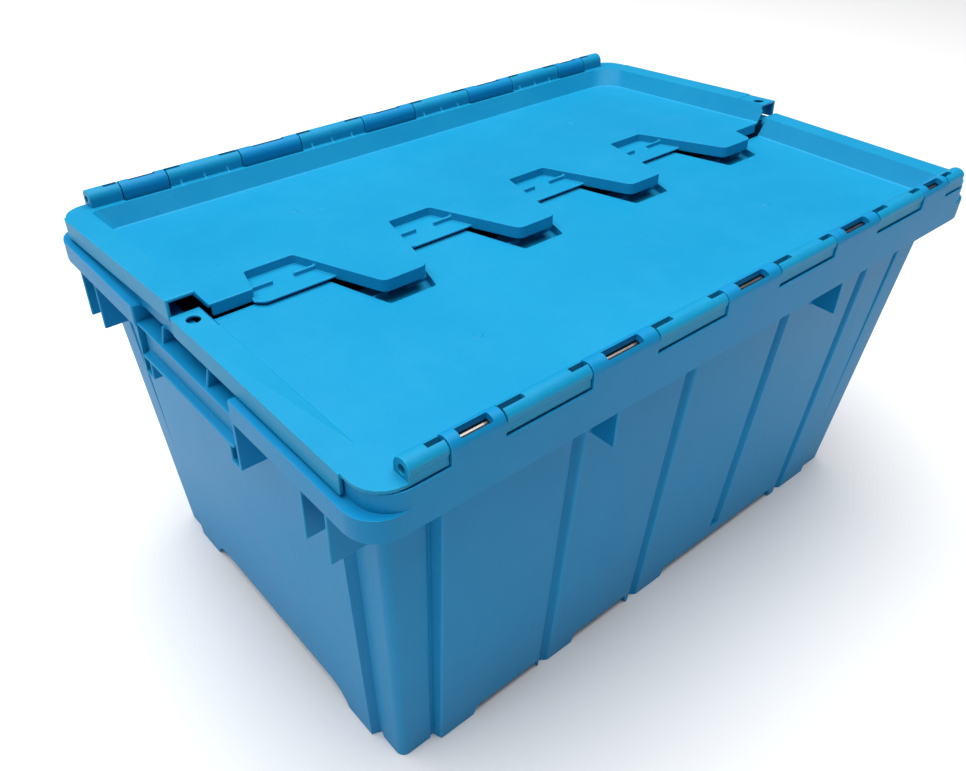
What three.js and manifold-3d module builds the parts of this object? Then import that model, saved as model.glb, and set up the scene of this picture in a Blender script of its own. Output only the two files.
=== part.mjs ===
// Attached-lid stacking crate, 600 x 400 mm: one moulded tub, two identical moulded lid halves
// and two steel hinge rods. Millimetres, +Z up, origin on the floor under the middle of the tub.
// X runs along the long side. The rear lid (hinged at +Y) lies on top of the front lid (hinged
// at -Y), with their fingers not yet meshed, so each lid is modelled at its own small tilt.
import * as THREE from 'three';
import { mergeVertices } from 'three/addons/utils/BufferGeometryUtils.js';
import Module from 'manifold-3d';

const wasm = await Module();
wasm.setup();

// ---- driving dimensions ------------------------------------------------------------------
const HALF_LENGTH = 300; // rim, along X
const HALF_WIDTH = 200; // rim, along Y
const BASE_HALF_X = 264; // wall panels at floor level
const BASE_HALF_Y = 164.5;
const DRAFT_X = 0.066; // outward lean of the walls per millimetre of height
const DRAFT_Y = 0.064;
const WALL = 2.6;
// The corner posts stand behind the wall panels. Going round the tub, the post before a panel is
// set well back; the one after it is nearly flush and flares out a little more with height.
const POST_INSET = 5.6;
const FLARED_INSET = 3;
const FLARE = 0.013;
const POST_RADIUS = 6.5;
const FLOOR_UNDERSIDE = 17;
const FLOOR_TOP = 20.2;

const SKIRT_BOTTOM = 268.3;
const LEDGE_Z = 284; // top of the lower band on the end walls
const RIM_TOP = 295.4;
const LIP_TOP = 296.8; // thin lip round the outside of the rim
const LIP_WIDTH = 1.2;
const RIM_RADIUS = 21;
const BAND_INSET = 7.6; // upper band on the end walls, behind the lower band
const SKIN = 2.5; // thickness of rims, flanges and lid plates
const MOUTH_HALF_X = 282.8; // the mouth, widened to take the lids' recessed trays
const MOUTH_HALF_Y = 183.8;
const MOUTH_RADIUS = 18;
const MOUTH_BOTTOM = 270;

const HINGE_Y = 193;
const HINGE_Z = 305;
const BARREL_RADIUS = 7;
const ROD_RADIUS = 2.25;
const BORE_RADIUS = 2.9;
const ROD_HALF_LENGTH = 270.5;
// Ends of the tub's hinge barrels along X; the lid's barrels fill the spaces between them.
const TUB_BARRELS = [[-247.6, -211.4], [-147.4, -92.6], [-27.4, 27.4], [92.6, 147.4], [211.4, 247.6]];
const LID_BARRELS = [
  [-273.3, -248.6], [-210.4, -148.4], [-91.6, -28.4], [28.4, 91.6], [148.4, 210.4], [248.6, 273.3],
];

const REAR_TILT = 3.4; // degrees that each lid stands open
const FRONT_TILT = 0.3;

const BLUE = 0x22a2dc;
const STEEL = 0x9a9ea3;

// ---- solid helpers -----------------------------------------------------------------------
function toSolid(geometry) {
  geometry.deleteAttribute('normal');
  geometry.deleteAttribute('uv');
  const merged = mergeVertices(geometry, 1e-4);
  const mesh = new wasm.Mesh({
    numProp: 3,
    vertProperties: new Float32Array(merged.attributes.position.array),
    triVerts: new Uint32Array(merged.index.array),
  });
  return new wasm.Manifold(mesh);
}

function toGeometry(solid) {
  const mesh = solid.getMesh();
  const geometry = new THREE.BufferGeometry();
  geometry.setAttribute('position', new THREE.BufferAttribute(new Float32Array(mesh.vertProperties), 3));
  geometry.setIndex(new THREE.BufferAttribute(new Uint32Array(mesh.triVerts), 1));
  geometry.computeVertexNormals();
  return geometry;
}

function joinAll(solids) {
  return solids.reduce((sum, next) => sum.add(next));
}

function extrude(points, depth) {
  const shape = new THREE.Shape(points.map(([u, v]) => new THREE.Vector2(u, v)));
  return new THREE.ExtrudeGeometry(shape, { depth, bevelEnabled: false });
}

// A plan outline raised from one height to another.
function slab(points, bottom, top) {
  return toSolid(extrude(points, top - bottom).translate(0, 0, bottom));
}

// A (y, z) profile run along X.
function barAlongX(profile, start, end) {
  const cycle = new THREE.Matrix4().set(0, 0, 1, 0, 1, 0, 0, 0, 0, 1, 0, 0, 0, 0, 0, 1);
  return toSolid(extrude(profile, end - start).applyMatrix4(cycle).translate(start, 0, 0));
}

// An (x, z) profile run along Y.
function barAlongY(profile, start, end) {
  const turn = new THREE.Matrix4().makeRotationX(Math.PI / 2);
  return toSolid(extrude(profile, end - start).applyMatrix4(turn).translate(0, end, 0));
}

function box(x0, x1, y0, y1, z0, z1) {
  const geometry = new THREE.BoxGeometry(x1 - x0, y1 - y0, z1 - z0);
  return toSolid(geometry.translate((x0 + x1) / 2, (y0 + y1) / 2, (z0 + z1) / 2));
}

function arc(cx, cy, radius, fromDegrees, toDegrees, segments) {
  return Array.from({ length: segments + 1 }, (_, i) => {
    const angle = THREE.MathUtils.degToRad(fromDegrees + ((toDegrees - fromDegrees) * i) / segments);
    return [cx + radius * Math.cos(angle), cy + radius * Math.sin(angle)];
  });
}

function roundedRectangle(halfX, halfY, radius, segments = 6) {
  const x = halfX - radius;
  const y = halfY - radius;
  return [
    ...arc(x, y, radius, 0, 90, segments),
    ...arc(-x, y, radius, 90, 180, segments),
    ...arc(-x, -y, radius, 180, 270, segments),
    ...arc(x, -y, radius, 270, 360, segments),
  ];
}

// The solid and its copy turned half a turn about Z.
function withOppositeEnd(solid) {
  return solid.add(solid.rotate([0, 0, 180]));
}

// ---- tub walls ---------------------------------------------------------------------------
const GROOVE_SPACING = 103.7;
const FIRST_GROOVE_X = -126;
const GROOVE_HALF_WIDTH = 6;
const GROOVE_DEPTH = 3.8;
const POST_EDGE_X = 229; // where the corner posts meet the long panels
const POST_EDGE_Y = 132; // and the end panels
const STEP_GROOVE = 1.6;

// How far a point leans outward with height: fully at the corners, less in the middle.
function lean(position, halfSize) {
  const share = position / halfSize;
  return share * (0.6 + 0.4 * share ** 6);
}

// A plan outline at floor level raised to a height, with the walls' draft.
function draftedSlab(points, bottom, top) {
  const geometry = extrude(points, top - bottom).translate(0, 0, bottom);
  const position = geometry.attributes.position;
  for (let i = 0; i < position.count; i += 1) {
    const height = position.getZ(i);
    const x = position.getX(i);
    const y = position.getY(i);
    const onPost = Math.abs(x) > POST_EDGE_X && Math.abs(y) > POST_EDGE_Y;
    const flare = onPost && x * y < 0 ? FLARE * height : 0;
    position.setX(i, x + DRAFT_X * height * lean(x, BASE_HALF_X) + Math.sign(x) * flare);
    position.setY(i, y + DRAFT_Y * height * lean(y, BASE_HALF_Y) + Math.sign(y) * flare);
  }
  return toSolid(geometry);
}

// Corner post to panel: (position along the wall, depth behind the panel), rising to the panel.
function postStep(edge, inset, skin) {
  return [
    [edge - 4 + skin, inset + skin],
    [edge - 3 + skin, inset + STEP_GROOVE + skin],
    [edge - 0.5 + skin, inset + STEP_GROOVE + skin],
    [edge + 2 + skin, skin],
  ];
}

// One of the shallow vertical grooves in the long walls.
function roundGroove(centre, skin) {
  const halfWidth = GROOVE_HALF_WIDTH + 0.8 * skin;
  return [-1, -0.66, -0.33, 0, 0.33, 0.66, 1].map((share) => [
    centre + share * halfWidth,
    skin + GROOVE_DEPTH * Math.cos((share * Math.PI) / 2) ** 2,
  ]);
}

function mirrored(profile) {
  return profile.map(([position, depth]) => [-position, depth]).reverse();
}

// The wall's plan outline at floor level; skin = 0 outside, WALL inside.
function wallOutline(skin) {
  const grooves = [0, 1, 2, 3].flatMap((i) => roundGroove(FIRST_GROOVE_X + i * GROOVE_SPACING, skin));
  const wallLine = (postEdge, middle) => [
    ...postStep(-postEdge, POST_INSET, skin),
    ...middle,
    ...mirrored(postStep(-postEdge, FLARED_INSET, skin)),
  ];
  const corner = (side, insetX, insetY, fromDegrees) => {
    const radius = POST_RADIUS - skin;
    const x = BASE_HALF_X - insetX - skin - radius;
    const y = BASE_HALF_Y - insetY - skin - radius;
    return arc(x, side * y, radius, fromDegrees, fromDegrees + 90, 6);
  };
  const half = [
    ...wallLine(POST_EDGE_X, grooves).map(([x, depth]) => [x, -BASE_HALF_Y + depth]),
    ...corner(-1, FLARED_INSET, FLARED_INSET, 270),
    ...wallLine(POST_EDGE_Y, []).map(([y, depth]) => [BASE_HALF_X - depth, -y]).reverse(),
    ...corner(1, POST_INSET, POST_INSET, 0),
  ];
  return [...half, ...half.map(([x, y]) => [-x, -y])];
}

// ---- tub base ----------------------------------------------------------------------------
const FOOT_DEPTH = 15;
const FOOT_RANGES = [[-240, -196], [-130, -94], [-28, 14], [172, 240]];
const NOTCHES = [[-193.5, -132.5], [-91.5, -32.5], [17, 169.5]];
const NOTCH_HEIGHT = 9.6;
const END_NOTCH_HEIGHT = 16;
const END_NOTCH_HALF = 86;
const STOPPED_GROOVE_X = FIRST_GROOVE_X + 2 * GROOVE_SPACING;
const STOPPED_GROOVE_Z = 22;

function addBase(tub) {
  const plugHalf = GROOVE_HALF_WIDTH + 1;
  const plug = draftedSlab([
    [STOPPED_GROOVE_X - plugHalf, -BASE_HALF_Y],
    [STOPPED_GROOVE_X + plugHalf, -BASE_HALF_Y],
    [STOPPED_GROOVE_X + plugHalf, -BASE_HALF_Y + GROOVE_DEPTH + 1],
    [STOPPED_GROOVE_X - plugHalf, -BASE_HALF_Y + GROOVE_DEPTH + 1],
  ], 0, STOPPED_GROOVE_Z);
  const outer = tub.add(withOppositeEnd(plug));

  // Hollow under the floor, with pads left behind each foot.
  const below = slab(roundedRectangle(BASE_HALF_X - 11, BASE_HALF_Y - 11, 12), -1, FLOOR_UNDERSIDE);
  const pads = joinAll(FOOT_RANGES.map(([x0, x1]) =>
    box(x0, x1, -BASE_HALF_Y + 8, -BASE_HALF_Y + 8 + FOOT_DEPTH, 0, FLOOR_UNDERSIDE + 0.5)));
  const hollowed = outer.subtract(below).add(withOppositeEnd(pads));

  const shoulder = 2.5;
  const longNotches = joinAll(NOTCHES.map(([x0, x1]) => barAlongY([
    [x0 - shoulder, -1],
    [x1 + shoulder, -1],
    [x1, NOTCH_HEIGHT],
    [x0, NOTCH_HEIGHT],
  ], -BASE_HALF_Y - 5, -BASE_HALF_Y + 13)));
  const endNotch = barAlongX([
    [-END_NOTCH_HALF - 15, -1],
    [END_NOTCH_HALF + 15, -1],
    [END_NOTCH_HALF + 12, 6],
    [END_NOTCH_HALF + 5, 13],
    [END_NOTCH_HALF - 4, END_NOTCH_HEIGHT],
    [-END_NOTCH_HALF + 4, END_NOTCH_HEIGHT],
    [-END_NOTCH_HALF - 5, 13],
    [-END_NOTCH_HALF - 12, 6],
  ], -BASE_HALF_X - 6, -BASE_HALF_X + 13);
  return hollowed.subtract(withOppositeEnd(longNotches)).subtract(withOppositeEnd(endNotch));
}

// ---- tub rim, hand-holds and gussets -----------------------------------------------------
const HANDHOLD_HALF = 65;
const GRIP_OUTER_X = 298.5;
const GRIP_TOP = 271;
const GRIP_BOTTOM = 246;
const GRIP_PLATE_HALF = 61.8;
const CHEEK_RIBS = [54.7, 65.2];
const FIN_Y = 30;
const GUSSET = 2.2;
const GUSSET_BOTTOM = 230.5; // gussets and cheeks on the end walls
const GUSSET_OUTER_X = 299.4;
const GUSSET_Y = [137, 161.4];
const SIDE_GUSSET_X = 120;
const SIDE_GUSSET_BOTTOM = 240;
const WALL_ROOT = 4; // how far past floor-level panels the ribs reach to meet the leaning wall

function makeRim() {
  const bandX = HALF_LENGTH - BAND_INSET;
  const ring = (halfX, inset, bottom, top) =>
    slab(roundedRectangle(halfX - inset, HALF_WIDTH - inset, RIM_RADIUS - inset), bottom, top);
  const skirt = ring(HALF_LENGTH, 0, SKIRT_BOTTOM, LEDGE_Z).add(ring(bandX, 0, SKIRT_BOTTOM, RIM_TOP));
  const hollow = ring(HALF_LENGTH, SKIN, SKIRT_BOTTOM - 1, LEDGE_Z - SKIN)
    .add(ring(bandX, SKIN, SKIRT_BOTTOM - 1, RIM_TOP - SKIN));
  const lip = ring(bandX, 0, RIM_TOP - 0.5, LIP_TOP)
    .subtract(ring(bandX, LIP_WIDTH, RIM_TOP - 1, LIP_TOP + 1));
  const gap = box(-HALF_LENGTH - 1, -bandX, -HANDHOLD_HALF, HANDHOLD_HALF, SKIRT_BOTTOM - 1, LEDGE_Z + 1);
  const mouthPlan = roundedRectangle(MOUTH_HALF_X + SKIN, MOUTH_HALF_Y + SKIN, MOUTH_RADIUS + SKIN);
  const mouthWall = slab(mouthPlan, MOUTH_BOTTOM - SKIN, RIM_TOP);
  return joinAll([skirt.subtract(hollow).subtract(withOppositeEnd(gap)), lip, mouthWall]);
}

// A rib standing out from the -X end wall, centred on a line across the wall.
function endRib(profile, y) {
  return barAlongY(profile, y - GUSSET / 2, y + GUSSET / 2);
}

// A grip under each end's rim: a shelf, a front plate with an outward lip, two fins above the
// shelf, and at each side an open-fronted cheek box of two ribs and a bottom plate.
function makeGrip() {
  const wallX = -BASE_HALF_X - WALL_ROOT;
  const plateX = -GRIP_OUTER_X + 3;
  const shelf = barAlongY([
    [wallX, GRIP_TOP - SKIN],
    [plateX, GRIP_TOP - SKIN],
    [plateX, GRIP_TOP - SKIN - 0.6],
    [-GRIP_OUTER_X, GRIP_TOP - SKIN + 0.4],
    [-GRIP_OUTER_X, GRIP_TOP],
    [wallX, GRIP_TOP],
  ], -HANDHOLD_HALF, HANDHOLD_HALF);
  const plate = barAlongY([
    [plateX + SKIN, GRIP_TOP - 0.5],
    [plateX + SKIN, GRIP_BOTTOM],
    [-GRIP_OUTER_X - 1.5, GRIP_BOTTOM],
    [-GRIP_OUTER_X - 1.5, GRIP_BOTTOM + 2],
    [plateX, GRIP_BOTTOM + 3],
    [plateX, GRIP_TOP - 0.5],
  ], -GRIP_PLATE_HALF, GRIP_PLATE_HALF);
  const fin = [
    [wallX, GRIP_TOP - 1],
    [-HALF_LENGTH + 3, GRIP_TOP - 1],
    [-HALF_LENGTH + 5.5, LEDGE_Z - 0.5],
    [wallX, LEDGE_Z - 0.5],
  ];
  const fins = [-FIN_Y, FIN_Y].map((y) => endRib(fin, y));
  const [innerRib, outerRib] = CHEEK_RIBS;
  const cheek = (top) => [
    [wallX, GUSSET_BOTTOM],
    [-GUSSET_OUTER_X, GUSSET_BOTTOM],
    [-GUSSET_OUTER_X, top],
    [wallX, top],
  ];
  const cheeks = [-1, 1].flatMap((side) => [
    endRib(cheek(GRIP_BOTTOM + 1), side * innerRib),
    endRib(cheek(LEDGE_Z - 0.5), side * outerRib),
    barAlongY(cheek(GUSSET_BOTTOM + GUSSET), Math.min(side * innerRib, side * outerRib),
      Math.max(side * innerRib, side * outerRib)),
  ]);
  return joinAll([shelf, plate, ...cheeks, ...fins]);
}

function makeEndGussets() {
  const profile = [
    [-BASE_HALF_X - WALL_ROOT, GUSSET_BOTTOM],
    [-GUSSET_OUTER_X, GUSSET_BOTTOM],
    [-GUSSET_OUTER_X, LEDGE_Z - 1],
    [-BASE_HALF_X - WALL_ROOT, LEDGE_Z - 1],
  ];
  return joinAll(GUSSET_Y.flatMap((y) => [endRib(profile, y), endRib(profile, -y)]));
}

function makeSideGussets() {
  const profile = [
    [-BASE_HALF_Y - WALL_ROOT, SIDE_GUSSET_BOTTOM],
    [-HALF_WIDTH + 1, SIDE_GUSSET_BOTTOM],
    [-HALF_WIDTH + 1, RIM_TOP - 1],
    [-BASE_HALF_Y - WALL_ROOT, RIM_TOP - 1],
  ];
  return joinAll([-SIDE_GUSSET_X, SIDE_GUSSET_X].map((x) =>
    barAlongX(profile, x - GUSSET / 2, x + GUSSET / 2)));
}

// ---- hinge barrels, in hinge coordinates: axis at the origin, inboard is +Y ---------------
const TUB_BARREL_PROFILE = [
  [BARREL_RADIUS, RIM_TOP - HINGE_Z - 1],
  ...arc(0, 0, BARREL_RADIUS, 0, 180, 12),
  [-BARREL_RADIUS, RIM_TOP - HINGE_Z - 1],
];
const LID_FACE = 6.2; // flat outer face of the lid's barrels, from the axis, down to a small step
const LID_LOWER_FACE = 5.6; // and below the step
const LID_FACE_ANGLE = THREE.MathUtils.radToDeg(Math.acos(-LID_FACE / BARREL_RADIUS));
const LID_BARREL_PROFILE = [
  [BARREL_RADIUS, -5.6],
  ...arc(0, 0, BARREL_RADIUS, 0, LID_FACE_ANGLE, 10),
  [-LID_FACE, -0.2],
  [-LID_LOWER_FACE, -0.6],
  [-LID_LOWER_FACE, -5.4],
];

function bore(start, end) {
  return barAlongX(arc(0, 0, BORE_RADIUS, 0, 337.5, 15), start - 1, end + 1);
}

const WEDGE_SPACING = 20;
const WEDGE_SHIFT = 2.6; // their middle one, from the middle of the barrel

// A slot cut down to the rod, open at the top of the barrel.
function rodSlot(start, end, yFrom, yTo) {
  return box(start, end, yFrom, yTo, 0, BARREL_RADIUS + 1);
}

function tubBarrel([start, end]) {
  const barrel = barAlongX(TUB_BARREL_PROFILE, start, end);
  const margin = end - start > 40 ? 12.5 : 7.5;
  const slot = rodSlot(start + margin, end - margin, -5, 1.5);
  return barrel.subtract(bore(start, end)).subtract(slot);
}

function lidBarrel([start, end]) {
  const barrel = barAlongX(LID_BARREL_PROFILE, start, end).subtract(bore(start, end));
  const notch = (from, to) => rodSlot(from, to, -1.8, 2.1);
  if (end - start > 40) {
    return barrel.subtract(notch(start - 1, start + 16)).subtract(notch(end - 12, end + 1));
  }
  return barrel.subtract(start < 0 ? notch(end - 10, end + 1) : notch(start - 1, start + 11));
}

// Three small wedges at the inboard foot of a long lid barrel.
function barrelWedges([start, end]) {
  const profile = [[BARREL_RADIUS - 0.5, -5.4], [BARREL_RADIUS + 3, -5.4], [BARREL_RADIUS - 0.5, -1.8]];
  const middle = (start + end) / 2 + WEDGE_SHIFT;
  return [-WEDGE_SPACING, 0, WEDGE_SPACING].map((shift) =>
    barAlongX(profile, middle + shift - 0.7, middle + shift + 0.7));
}

function makeTub() {
  const outer = draftedSlab(wallOutline(0), 0, RIM_TOP);
  const cavity = draftedSlab(wallOutline(WALL), FLOOR_TOP, RIM_TOP + 1);
  const sideBarrels = joinAll(TUB_BARRELS.map(tubBarrel)).translate([0, -HINGE_Y, HINGE_Z]);
  const mouth = slab(roundedRectangle(MOUTH_HALF_X, MOUTH_HALF_Y, MOUTH_RADIUS), MOUTH_BOTTOM, RIM_TOP + 1);
  const ends = makeGrip().add(makeEndGussets());
  const gussets = makeSideGussets();
  const body = joinAll([addBase(outer), makeRim(), withOppositeEnd(ends), withOppositeEnd(gussets)]);
  return body.subtract(cavity.add(mouth)).add(withOppositeEnd(sideBarrels));
}

// ---- lid half, in hinge coordinates: axis at the origin, the seam is towards +Y -----------
const BORDER_TOP = -5.2;
const BORDER_BOTTOM = BORDER_TOP - SKIN;
const PANEL_TOP = BORDER_TOP - 14.2;
const PANEL_BOTTOM = PANEL_TOP - SKIN;
const LID_HALF_X = 295.7;
const PLATE_HALF_X = 294.4;
const PLATE_FRONT = -5.6;
const LONG_FLANGE_START = 21; // on the side with the long border
const SHORT_FLANGE_START = 9.5;
const FLANGE_BOTTOM = BORDER_TOP - 14.6;
const TRAY_HALF_X = 276.4; // recess at border level
const TRAY_FRONT = 12;
const TRAY_SLOPE = 9; // how far its walls lean in on the way down
const TRAY_RADIUS = 24; // its hinge corner on the long border side
const TRAY_SMALL_RADIUS = 6; // and on the short border side
const SEAM = HINGE_Y; // distance from the axis to the middle of the crate
const LONG_BORDER_END = SEAM + 10.2; // the border with the seal hole
const SHORT_BORDER_END = SEAM - 12.8;
const LONG_EDGE_END = SEAM + 12.5; // seam edge just inside each border
const SHORT_EDGE_END = SEAM - 16.3;
const TIP_HALF = 17.5;
const TIP_END = SEAM + 33.5;
const TIP_RADIUS = 7;
const POCKET_HALF = 19;
const POCKET_RADIUS = 3;
const POCKET_BACK = SEAM - 42.5;
const FINGER_DEPTH = 9;
const SHELF_DROP = 6.5; // pocket shelf below the panel
const SHELF_SKIN = 1.5;
const SHELF_FRONT = SEAM - 6;
const SEAL_HOLE_RADIUS = 4.6;

const FINGER_CENTRES = [-210, -90, 30, 150];
const POCKET_CENTRES = [-150, -30, 90, 210];
const FLANK = (60 - TIP_HALF - POCKET_HALF) / (TIP_END - POCKET_BACK); // sideways run per mm of flank

// The corner between two neighbouring points, rounded off.
function roundedCorner(before, corner, after, radius) {
  const [back, middle, ahead] = [before, corner, after].map(([x, y]) => new THREE.Vector2(x, y));
  const toBack = back.sub(middle).normalize();
  const toAhead = ahead.sub(middle).normalize();
  const reach = radius / Math.tan(Math.acos(toBack.dot(toAhead)) / 2);
  const start = middle.clone().addScaledVector(toBack, reach);
  const end = middle.clone().addScaledVector(toAhead, reach);
  return new THREE.QuadraticBezierCurve(start, middle, end).getPoints(4).map(({ x, y }) => [x, y]);
}

// The finger edge from -X to +X, moved back by an inset so that the same line gives the inner
// faces of the edge walls.
function fingerEdge(inset) {
  const side = inset * Math.hypot(1, FLANK);
  const backShift = FLANK * inset;
  const edge = [[-TRAY_HALF_X, LONG_EDGE_END - inset], [-235 + side / 2, LONG_EDGE_END - inset]];
  const radii = [0, 0];
  FINGER_CENTRES.forEach((centre, i) => {
    const tip = TIP_HALF - side + backShift;
    edge.push([centre - tip, TIP_END - inset], [centre + tip, TIP_END - inset]);
    const pocket = POCKET_HALF + side + backShift;
    const back = POCKET_BACK - inset;
    const pocketCentre = POCKET_CENTRES[i];
    edge.push([pocketCentre - pocket, back], [pocketCentre + pocket, back]);
    radii.push(TIP_RADIUS - inset, TIP_RADIUS - inset, POCKET_RADIUS + inset, POCKET_RADIUS + inset);
  });
  edge.push([236.4 + side, SHORT_EDGE_END - inset], [TRAY_HALF_X, SHORT_EDGE_END - inset]);
  radii.push(0, 0);
  return edge.flatMap((point, i) =>
    radii[i] > 0 ? roundedCorner(edge[i - 1], point, edge[i + 1], radii[i]) : [point]);
}

// The whole plan outline: border ends on both sides of the finger edge, round hinge corners.
function lidPlan(halfX) {
  const radius = 20;
  return [
    ...arc(-halfX + radius, PLATE_FRONT + radius, radius, 180, 270, 6),
    ...arc(halfX - radius, PLATE_FRONT + radius, radius, 270, 360, 6),
    [halfX, SHORT_BORDER_END],
    [TRAY_HALF_X - 2, SHORT_BORDER_END],
    [TRAY_HALF_X - 2, SHORT_EDGE_END],
    ...fingerEdge(0).slice(1, -1).reverse(),
    [-TRAY_HALF_X + 2, LONG_EDGE_END],
    [-TRAY_HALF_X + 2, LONG_BORDER_END],
    [-halfX, LONG_BORDER_END],
  ];
}

// The recess: a rounded tray open at the seam, with sloping walls; grow adds its skin.
function tray(grow, bottom, top) {
  const points = [
    [TRAY_HALF_X, SEAM * 2],
    [-TRAY_HALF_X, SEAM * 2],
    ...arc(-TRAY_HALF_X + TRAY_RADIUS, TRAY_FRONT + TRAY_RADIUS, TRAY_RADIUS, 180, 270, 6),
    ...arc(TRAY_HALF_X - TRAY_SMALL_RADIUS, TRAY_FRONT + TRAY_SMALL_RADIUS, TRAY_SMALL_RADIUS, 270, 360, 4),
  ];
  const geometry = extrude(points, top - bottom).translate(0, 0, bottom);
  const position = geometry.attributes.position;
  const centreY = 150;
  for (let i = 0; i < position.count; i += 1) {
    const drop = BORDER_TOP - position.getZ(i);
    const shrink = (TRAY_SLOPE * drop) / (BORDER_TOP - PANEL_TOP) - grow;
    const x = position.getX(i);
    const y = position.getY(i);
    position.setX(i, x * (1 - shrink / TRAY_HALF_X));
    position.setY(i, y > centreY ? y : y + (shrink * (centreY - y)) / (centreY - TRAY_FRONT));
  }
  return toSolid(geometry);
}

// One pocket's shelf with its two short ribs.
function pocketShelf(centre) {
  const top = PANEL_TOP - SHELF_DROP;
  const widen = (y) => POCKET_HALF + FLANK * (y - POCKET_BACK) + 1;
  const back = POCKET_BACK - 1;
  const plate = slab([
    [centre - widen(back), back],
    [centre + widen(back), back],
    [centre + widen(SHELF_FRONT - 6), SHELF_FRONT - 6],
    [centre + widen(SHELF_FRONT - 6) - 6, SHELF_FRONT],
    [centre - widen(SHELF_FRONT), SHELF_FRONT],
  ], top - SHELF_SKIN, top);
  const ribY = SEAM - 24;
  const reach = widen(ribY);
  const ribs = [-1, 1].map((side) => {
    const from = centre + Math.min(side * 8, side * reach);
    const to = centre + Math.max(side * 8, side * reach);
    return box(from, to, ribY - 1, ribY + 1, top - 0.5, top + 3.6);
  });
  return joinAll([plate, ...ribs]);
}

function makeLid() {
  const plate = slab(lidPlan(PLATE_HALF_X), BORDER_BOTTOM, BORDER_TOP);
  const planTall = slab(lidPlan(PLATE_HALF_X), PANEL_BOTTOM - FINGER_DEPTH, BORDER_TOP + 1);
  const pan = tray(SKIN, PANEL_BOTTOM, BORDER_TOP - 0.01).subtract(tray(0, PANEL_TOP, BORDER_TOP + 1));
  const shell = plate.subtract(tray(0, PANEL_TOP, BORDER_TOP + 1)).add(pan.intersect(planTall));

  // Walls that hang from the finger edge.
  const wallBlock = (inset, halfX, back, bottom, top) => slab([
    ...fingerEdge(inset).slice(1, -1),
    [halfX, SHORT_EDGE_END - inset],
    [halfX, back],
    [-halfX, back],
    [-halfX, LONG_EDGE_END - inset],
  ].reverse(), bottom, top);
  const wallBottom = PANEL_TOP - FINGER_DEPTH;
  const wallZone = wallBlock(0, 266, 130, wallBottom, PANEL_TOP - 0.5);
  const wallCore = wallBlock(SKIN, 267, 129, wallBottom - 1, PANEL_TOP);
  const fingerWalls = wallZone.subtract(wallCore);

  const flangeRing = slab(lidPlan(LID_HALF_X), FLANGE_BOTTOM, BORDER_TOP)
    .subtract(slab(lidPlan(LID_HALF_X - SKIN), FLANGE_BOTTOM - 1, BORDER_TOP + 1));
  const flange = (x, start, end) =>
    flangeRing.intersect(box(x - 5, x + 5, start, end, FLANGE_BOTTOM, BORDER_TOP));
  const flanges = [
    flange(-LID_HALF_X, LONG_FLANGE_START, LONG_BORDER_END),
    flange(LID_HALF_X, SHORT_FLANGE_START, SHORT_BORDER_END),
  ];
  const barrels = LID_BARRELS.map(lidBarrel);
  const wedges = LID_BARRELS.slice(1, -1).flatMap(barrelWedges);
  const shelves = POCKET_CENTRES.map(pocketShelf);

  const clearance = 0.6;
  const reliefs = TUB_BARRELS.map(([start, end]) => box(start - clearance, end + clearance,
    PLATE_FRONT - 1, BARREL_RADIUS + 2.2, PANEL_BOTTOM, BARREL_RADIUS));
  const hole = slab(arc(-285.2, SEAM - 0.5, SEAL_HOLE_RADIUS, 0, 342, 19), PANEL_BOTTOM, BORDER_TOP + 1);
  const tabStep = box(-LID_HALF_X - 1, -TRAY_HALF_X, SEAM - 17, SEAM + 20, BORDER_TOP - 0.7, BORDER_TOP + 1);
  return joinAll([shell, fingerWalls, ...flanges, ...barrels, ...wedges, ...shelves])
    .subtract(joinAll([...reliefs, hole, tabStep]));
}

// ---- assembly ----------------------------------------------------------------------------
const plastic = () => new THREE.MeshStandardMaterial({ color: BLUE, roughness: 0.45, metalness: 0 });
const steel = () => new THREE.MeshStandardMaterial({ color: STEEL, roughness: 0.35, metalness: 1 });

function piece(name, geometry, material) {
  const mesh = new THREE.Mesh(geometry, material);
  mesh.name = name;
  return mesh;
}

// A lid hung on its hinge axis: raised by its tilt, and turned half a turn for the rear side.
function hungLid(name, geometry, rear, tilt) {
  const hinge = new THREE.Group();
  hinge.position.set(0, rear ? HINGE_Y : -HINGE_Y, HINGE_Z);
  hinge.rotation.z = rear ? Math.PI : 0;
  const lid = piece(name, geometry, plastic());
  lid.rotation.x = THREE.MathUtils.degToRad(tilt);
  hinge.add(lid);
  return hinge;
}

function hingeRod(name, y) {
  const geometry = new THREE.CylinderGeometry(ROD_RADIUS, ROD_RADIUS, 2 * ROD_HALF_LENGTH, 12);
  const rod = piece(name, geometry, steel());
  rod.rotation.z = Math.PI / 2;
  rod.position.set(0, y, HINGE_Z);
  return rod;
}

const crate = new THREE.Group();
const lidGeometry = toGeometry(makeLid());
crate.add(
  piece('tub', toGeometry(makeTub()), plastic()),
  hungLid('lid_front', lidGeometry, false, FRONT_TILT),
  hungLid('lid_rear', lidGeometry.clone(), true, REAR_TILT),
  hingeRod('hinge_rod_front', -HINGE_Y),
  hingeRod('hinge_rod_rear', HINGE_Y),
);

export default crate;
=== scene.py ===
"""Attached-lid stacking crate: finished surfaces, small moulded details, studio and camera.

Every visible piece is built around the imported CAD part, in metres, +Z up, with X along the long side.
"""

import math

import bmesh
import bpy
from mathutils import Matrix, Vector
from mathutils.bvhtree import BVHTree


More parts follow.
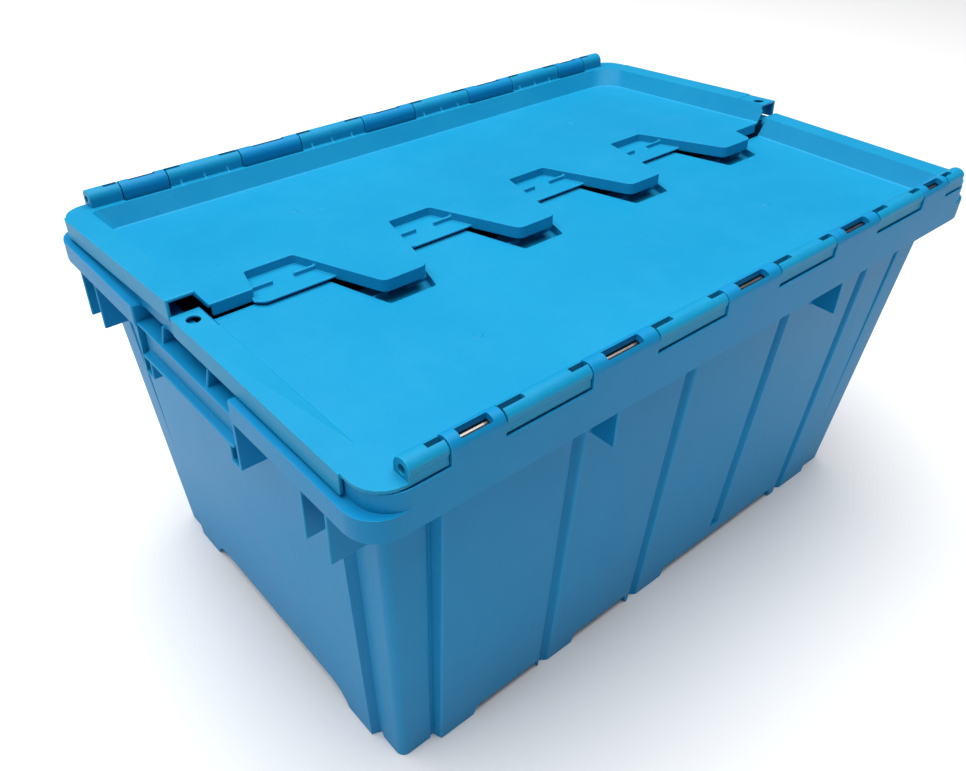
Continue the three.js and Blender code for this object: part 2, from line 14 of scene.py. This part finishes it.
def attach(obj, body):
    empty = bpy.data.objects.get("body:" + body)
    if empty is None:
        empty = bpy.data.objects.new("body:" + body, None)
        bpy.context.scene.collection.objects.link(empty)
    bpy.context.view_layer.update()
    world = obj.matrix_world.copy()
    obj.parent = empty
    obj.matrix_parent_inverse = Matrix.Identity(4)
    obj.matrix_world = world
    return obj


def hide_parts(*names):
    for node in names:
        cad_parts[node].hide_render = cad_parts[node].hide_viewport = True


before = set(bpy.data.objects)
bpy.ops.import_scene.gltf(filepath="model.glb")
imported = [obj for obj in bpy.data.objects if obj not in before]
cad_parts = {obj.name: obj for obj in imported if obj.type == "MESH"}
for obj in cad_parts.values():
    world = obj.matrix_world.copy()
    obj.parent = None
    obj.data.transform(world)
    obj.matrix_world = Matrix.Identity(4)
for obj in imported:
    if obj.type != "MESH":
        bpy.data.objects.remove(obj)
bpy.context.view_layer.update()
scene = bpy.context.scene

MM = 0.001

# ---- driving sizes -------------------------------------------------------------------------
EDGE_RADIUS = 1.1 * MM  # rounding of the moulded edges, where there is room for it
BEND_RADIUS = 3.0 * MM  # rounding of the gentler bends, such as the slopes of the lid's tray
BEND_ANGLE = math.radians(68)
SHARP_ANGLE = math.radians(26)  # a turn sharper than this is an edge that gets rounded
SHADE_ANGLE = math.radians(40)
CHAIN_TURN = math.radians(38)  # edges turning less than this run on as one line
WELD = 0.02 * MM
FLAT_ANGLE = math.radians(0.6)  # faces turning less than this are merged into one
SHARED_ROOM = 0.42  # share of the gap to a neighbour that is rounded too
FREE_ROOM = 0.85  # share of the gap to any other neighbour
NO_LENGTH = 1e-9

GATE_RADIUS = 3.5 * MM  # the small round gate mark left on each half of a lid's panel
GATE_HEIGHT = 0.6 * MM
GATE_TAPER = 0.7
GATE_STANDS_OUT = 0.4  # share of its height from the panel to the middle of the nub
ABOVE_THE_LIDS = 0.4  # height from which the panel below is looked for
GATE_AT = (150 * MM, 107 * MM)


# ---- node material helpers -----------------------------------------------------------------
class Nodes:
    """A small builder for one material's node tree."""

    def __init__(self, name):
        self.material = bpy.data.materials.new(name)
        self.material.use_nodes = True
        self.tree = self.material.node_tree
        self.shader = self.tree.nodes["Principled BSDF"]
        self.position = self.add("ShaderNodeTexCoord").outputs["Object"]

    def add(self, kind, **settings):
        node = self.tree.nodes.new(kind)
        for key, value in settings.items():
            setattr(node, key, value)
        return node

    def plug(self, value, socket):
        if isinstance(value, bpy.types.NodeSocket):
            self.tree.links.new(value, socket)
        else:
            socket.default_value = value

    def stretched(self, scale, turn=0.0):
        """Object coordinates scaled per axis, turned about Z."""
        node = self.add("ShaderNodeMapping")
        self.plug(self.position, node.inputs["Vector"])
        node.inputs["Scale"].default_value = scale
        node.inputs["Rotation"].default_value = (0, 0, math.radians(turn))
        return node.outputs["Vector"]

    def noise(self, scale, detail=3.0, roughness=0.5, vector=None, distortion=0.0):
        node = self.add("ShaderNodeTexNoise")
        self.plug(vector or self.position, node.inputs["Vector"])
        node.inputs["Scale"].default_value = scale
        node.inputs["Detail"].default_value = detail
        node.inputs["Roughness"].default_value = roughness
        node.inputs["Distortion"].default_value = distortion
        return node.outputs["Fac"]

    def remap(self, value, low, high, to_low=0.0, to_high=1.0):
        node = self.add("ShaderNodeMapRange")
        self.plug(value, node.inputs["Value"])
        for key, number in (("From Min", low), ("From Max", high), ("To Min", to_low), ("To Max", to_high)):
            node.inputs[key].default_value = number
        return node.outputs["Result"]

    def math(self, operation, a, b=0.0):
        node = self.add("ShaderNodeMath", operation=operation)
        self.plug(a, node.inputs[0])
        self.plug(b, node.inputs[1])
        return node.outputs["Value"]

    def blend(self, factor, a, b):
        node = self.add("ShaderNodeMix", data_type="RGBA")
        self.plug(factor, node.inputs["Factor"])
        self.plug(a, node.inputs["A"])
        self.plug(b, node.inputs["B"])
        return node.outputs["Result"]

    def bump(self, height, distance, strength=1.0, normal=None):
        node = self.add("ShaderNodeBump")
        self.plug(height, node.inputs["Height"])
        node.inputs["Distance"].default_value = distance
        node.inputs["Strength"].default_value = strength
        if normal is not None:
            self.plug(normal, node.inputs["Normal"])
        return node.outputs["Normal"]


def thin_lines(m, scale, turn, width):
    """Fine scratches running one way: 1 on a line, 0 between."""
    lines = m.noise(1.0, 2.0, 0.6, m.stretched(scale, turn), 0.4)
    centred = m.math("ABSOLUTE", m.math("SUBTRACT", lines, 0.5))
    return m.remap(centred, 0.0, width, 1.0, 0.0)


def moulded_plastic(name, tint, scuff_directions):
    """Blue polypropylene with clouding, scuffs, fine scratches, specks and a painted highlight on the
    rounded edges.
    """
    m = Nodes(name)
    clouds = m.noise(7.0, 4.0, 0.55)
    base = m.blend(m.remap(clouds, 0.3, 0.7), tint[0], tint[1])

    patches = m.remap(m.noise(16.0, 5.0, 0.6), 0.5, 0.72)
    scuffs = None
    for scale, turn, width in scuff_directions:
        lines = thin_lines(m, scale, turn, width)
        scuffs = lines if scuffs is None else m.math("MAXIMUM", scuffs, lines)
    scuffs = m.math("MULTIPLY", scuffs, patches)
    haze = m.remap(m.noise(30.0, 6.0, 0.7), 0.45, 0.8, 0.0, 0.16)
    worn = m.math("ADD", m.math("MULTIPLY", scuffs, 0.22), haze)
    colour = m.blend(worn, base, tint[2])

    specks = m.remap(m.noise(420.0, 1.0, 0.4), 0.74, 0.8, 0.0, 0.35)
    colour = m.blend(specks, colour, (0.02, 0.07, 0.13, 1))
    # Painted highlight: the rounding faces are mixed towards a lighter blue that stands in for the light
    # the edges catch.
    edge = m.add("ShaderNodeAttribute", attribute_name="edge").outputs["Fac"]
    colour = m.blend(m.math("MULTIPLY", edge, 0.35), colour, tint[3])
    m.plug(colour, m.shader.inputs["Base Color"])

    rough = m.remap(clouds, 0.25, 0.75, 0.36, 0.46)
    rough = m.math("ADD", rough, m.math("MULTIPLY", scuffs, 0.12))
    m.plug(rough, m.shader.inputs["Roughness"])
    m.shader.inputs["IOR"].default_value = 1.49
    m.shader.inputs["Specular IOR Level"].default_value = 0.13

    sink = m.bump(m.noise(11.0, 2.0, 0.4), 0.9 * MM, 0.35)
    peel = m.bump(m.noise(900.0, 2.0, 0.5), 0.06 * MM, 0.5, sink)
    scored = m.bump(m.math("MULTIPLY", scuffs, -1.0), 0.05 * MM, 0.5, peel)
    m.plug(scored, m.shader.inputs["Normal"])
    return m.material


def drawn_steel(name):
    """Dull drawn wire with lengthwise marks and a few brownish spots."""
    m = Nodes(name)
    marks = m.noise(1.0, 3.0, 0.6, m.stretched((40, 2500, 2500)))
    spots = m.remap(m.noise(160.0, 4.0, 0.6), 0.58, 0.72)
    steel = m.blend(marks, (0.20, 0.18, 0.16, 1), (0.36, 0.33, 0.30, 1))
    colour = m.blend(m.math("MULTIPLY", spots, 0.6), steel, (0.16, 0.10, 0.07, 1))
    m.plug(colour, m.shader.inputs["Base Color"])
    m.shader.inputs["Metallic"].default_value = 1.0
    m.plug(m.remap(marks, 0.2, 0.8, 0.24, 0.42), m.shader.inputs["Roughness"])
    m.plug(m.bump(marks, 0.03 * MM, 0.5), m.shader.inputs["Normal"])
    return m.material


# Plain colour, clouded colour, scuffed colour and painted edge highlight colour of each moulding.
LID_TINTS = (
    (0.005, 0.242, 0.46, 1),
    (0.007, 0.266, 0.49, 1),
    (0.035, 0.34, 0.56, 1),
    (0.015, 0.385, 0.66, 1),
)
TUB_TINTS = (
    (0.003, 0.215, 0.46, 1),
    (0.005, 0.242, 0.51, 1),
    (0.03, 0.30, 0.53, 1),
    (0.012, 0.36, 0.67, 1),
)
LID_SCUFFS = (((9, 160, 9), 24, 0.012), ((8, 190, 8), -38, 0.01), ((6, 130, 6), 75, 0.01))
TUB_SCUFFS = (((140, 140, 5), 0, 0.016), ((90, 90, 3), 20, 0.02))

lid_plastic = moulded_plastic("lid_plastic", LID_TINTS, LID_SCUFFS)
tub_plastic = moulded_plastic("tub_plastic", TUB_TINTS, TUB_SCUFFS)
rod_steel = drawn_steel("rod_steel")


# ---- mouldings -----------------------------------------------------------------------------
def distance_to_segment(point, start, end):
    along = end - start
    share = (point - start).dot(along) / max(along.length_squared, 1e-18)
    return (point - start - along * min(max(share, 0.0), 1.0)).length


def room_beside(edge, face, sharp):
    """How far an edge can be cut back across one face before it meets another edge."""
    a, b = (v.co for v in edge.verts)
    room = BEND_RADIUS
    for other in face.edges:
        if other is edge:
            continue
        share = SHARED_ROOM if other in sharp else FREE_ROOM
        touching = [v for v in other.verts if v in edge.verts]
        if touching:
            shared = touching[0]
            far = other.other_vert(shared).co - shared.co
            back = edge.other_vert(shared).co - shared.co
            if far.length < NO_LENGTH or back.length < NO_LENGTH or math.pi - far.angle(back) < CHAIN_TURN:
                continue
            gap = distance_to_segment(other.other_vert(shared).co, a, b)
        else:
            c, d = (v.co for v in other.verts)
            gap = min(distance_to_segment(c, a, b), distance_to_segment(d, a, b),
                      distance_to_segment(a, c, d), distance_to_segment(b, c, d))
        room = min(room, share * gap)
    return room


def mark_radii(bm):
    """Give every sharp edge a bevel weight: its rounding radius as a share of the largest one."""
    weight = bm.edges.layers.float.new("bevel_weight_edge")
    angles = {e: e.calc_face_angle() for e in bm.edges if len(e.link_faces) == 2}
    sharp = {e for e, angle in angles.items() if angle > SHARP_ANGLE}
    radius = {}
    for e in sharp:
        wanted = BEND_RADIUS if angles[e] < BEND_ANGLE else EDGE_RADIUS
        radius[e] = min([wanted] + [room_beside(e, face, sharp) for face in e.link_faces])
    even_out(radius)
    for e in sharp:
        e[weight] = radius[e] / BEND_RADIUS


def even_out(radius):
    """Edges that run on from one another share the smallest radius found among them."""
    waiting = sorted(radius, key=radius.get)
    settled = set()
    for first in waiting:
        chain = [first]
        while chain:
            e = chain.pop()
            if e in settled:
                continue
            settled.add(e)
            radius[e] = radius[first]
            for v in e.verts:
                heading = v.co - e.other_vert(v).co
                chain += [f for f in v.link_edges if f in radius and f not in settled
                          and heading.angle(f.other_vert(v).co - v.co) < CHAIN_TURN]


def mesh_with_modifiers(piece):
    bpy.context.view_layer.update()
    shaped = piece.evaluated_get(bpy.context.evaluated_depsgraph_get())
    return bpy.data.meshes.new_from_object(shaped)


def moulding(node, name, material):
    """A copy of a CAD node's shape with flat faces merged and every sharp edge rounded."""
    bm = bmesh.new()
    bm.from_mesh(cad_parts[node].data)
    bmesh.ops.remove_doubles(bm, verts=bm.verts, dist=WELD)
    bmesh.ops.dissolve_limit(bm, angle_limit=FLAT_ANGLE, verts=bm.verts, edges=bm.edges)
    mark_radii(bm)
    plain = bpy.data.meshes.new(name + "_plain")
    bm.to_mesh(plain)
    bm.free()
    piece = bpy.data.objects.new(name, plain)
    scene.collection.objects.link(piece)
    bevel = piece.modifiers.new("rounding", "BEVEL")
    bevel.limit_method = "WEIGHT"
    bevel.width = BEND_RADIUS
    bevel.segments = 3
    bevel.use_clamp_overlap = False
    bevel.material = 1
    plain.materials.append(material)
    plain.materials.append(material)
    mesh = mesh_with_modifiers(piece)
    mesh.name = name
    piece.modifiers.clear()
    piece.data = mesh
    bpy.data.meshes.remove(plain)
    mark_edges(mesh)
    mesh.shade_smooth()
    mesh.set_sharp_from_angle(angle=SHADE_ANGLE)
    weighted = piece.modifiers.new("even_shading", "WEIGHTED_NORMAL")
    weighted.keep_sharp = True
    return piece


def mark_edges(mesh):
    """Record which faces are roundings, then leave the mesh with its one material."""
    # Rounding faces are marked 1 here, and the material paints a highlight on them.
    rounding = mesh.attributes.new("edge", "FLOAT", "FACE")
    for face in mesh.polygons:
        rounding.data[face.index].value = float(face.material_index)
        face.material_index = 0
    while len(mesh.materials) > 1:
        mesh.materials.pop()


def stand_in(node, name, body, material):
    piece = moulding(node, name, material)
    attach(piece, body)
    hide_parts(node)
    return piece


stand_in("tub", "tub_moulding", "tub", tub_plastic)
stand_in("lid_front", "lid_front_moulding", "front_lid", lid_plastic)
stand_in("lid_rear", "lid_rear_moulding", "rear_lid", lid_plastic)


def gate_mark(lid, body, side, label):
    """A low round nub standing on a lid's panel, set on the surface found straight below."""
    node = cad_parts[lid]
    into = node.matrix_world.inverted()
    x = GATE_AT[0] * side
    y = GATE_AT[1] * (1 if lid == "lid_rear" else -1)
    down = (into.to_3x3() @ Vector((0, 0, -1))).normalized()
    bm = bmesh.new()
    bm.from_mesh(node.data)
    at, normal, _, _ = BVHTree.FromBMesh(bm).ray_cast(into @ Vector((x, y, ABOVE_THE_LIDS)), down)
    bm.clear()
    if at is None:
        raise ValueError(f"no panel under {label}")
    bmesh.ops.create_cone(bm, cap_ends=True, segments=32, radius1=GATE_RADIUS,
                          radius2=GATE_RADIUS * GATE_TAPER, depth=GATE_HEIGHT)
    mesh = bpy.data.meshes.new(label)
    bm.to_mesh(mesh)
    bm.free()
    mesh.materials.append(lid_plastic)
    piece = bpy.data.objects.new(label, mesh)
    scene.collection.objects.link(piece)
    facing = (node.matrix_world.to_3x3() @ normal).normalized()
    piece.rotation_mode = "QUATERNION"
    piece.rotation_quaternion = facing.to_track_quat("Z", "Y")
    piece.location = node.matrix_world @ at + facing * GATE_HEIGHT * GATE_STANDS_OUT
    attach(piece, body)


for lid, body in (("lid_front", "front_lid"), ("lid_rear", "rear_lid")):
    for side, end in ((-1, "left"), (1, "right")):
        gate_mark(lid, body, side, f"{lid}_gate_{end}")

for rod in ("hinge_rod_front", "hinge_rod_rear"):
    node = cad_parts[rod]
    for slot in node.material_slots:
        slot.material = rod_steel

# ---- studio --------------------------------------------------------------------------------
PALE = (0.86, 0.86, 0.86, 1)


def studio_floor():
    bm = bmesh.new()
    bmesh.ops.create_grid(bm, x_segments=8, y_segments=8, size=9)
    mesh = bpy.data.meshes.new("studio_floor")
    bm.to_mesh(mesh)
    bm.free()
    m = Nodes("studio_floor")
    m.shader.inputs["Base Color"].default_value = PALE
    m.shader.inputs["Roughness"].default_value = 0.85
    mesh.materials.append(m.material)
    piece = bpy.data.objects.new("studio_floor", mesh)
    scene.collection.objects.link(piece)


def soft_light(name, at, aim, size, watts):
    light = bpy.data.lights.new(name, "AREA")
    light.shape = "SQUARE"
    light.size = size
    light.energy = watts
    holder = bpy.data.objects.new(name, light)
    scene.collection.objects.link(holder)
    holder.location = at
    holder.rotation_mode = "QUATERNION"
    holder.rotation_quaternion = (Vector(aim) - Vector(at)).to_track_quat("-Z", "Y")


def studio_world(grey):
    world = bpy.data.worlds.new("studio")
    world.use_nodes = True
    background = world.node_tree.nodes["Background"]
    background.inputs["Color"].default_value = (*grey, 1)
    background.inputs["Strength"].default_value = 1.0
    scene.world = world


studio_floor()
studio_world((0.10, 0.10, 0.105))
soft_light("overhead", (-0.2, 0.4, 3.4), (0, 0.2, 0), 4.2, 245)
soft_light("left_fill", (-2.6, -0.2, 1.3), (0, 0, 0.15), 1.2, 7)

# ---- camera --------------------------------------------------------------------------------
IMAGE_WIDTH = 966
CAMERA_AT = Vector((-0.459904, -0.455610, 0.591393))
CAMERA_AZIMUTH = math.radians(-40.086)
CAMERA_ELEVATION = math.radians(36.453)
CAMERA_ROLL = math.radians(0.466)
FOCAL_IN_WIDTHS = 901.873 / IMAGE_WIDTH
SHIFT = (0.0266, 0.0012)


def photo_camera():
    camera = bpy.data.cameras.new("camera")
    camera.sensor_width = 36
    camera.lens = 36 * FOCAL_IN_WIDTHS
    camera.shift_x, camera.shift_y = SHIFT
    camera.clip_start = 0.02
    camera.clip_end = 60
    holder = bpy.data.objects.new("camera", camera)
    scene.collection.objects.link(holder)
    level = math.cos(CAMERA_ELEVATION)
    back = Vector((
        math.sin(CAMERA_AZIMUTH) * level,
        -math.cos(CAMERA_AZIMUTH) * level,
        math.sin(CAMERA_ELEVATION),
    ))
    right = (-back).cross(Vector((0, 0, 1))).normalized()
    up = back.cross(right)
    turn = Matrix.Rotation(CAMERA_ROLL, 3, back)
    right, up = turn @ right, turn @ up
    axes = Matrix((right, up, back)).transposed()
    holder.rotation_mode = "QUATERNION"
    holder.rotation_quaternion = axes.to_quaternion()
    holder.location = CAMERA_AT
    scene.camera = holder


photo_camera()
scene.view_settings.view_transform = "Standard"

bpy.context.view_layer.update()
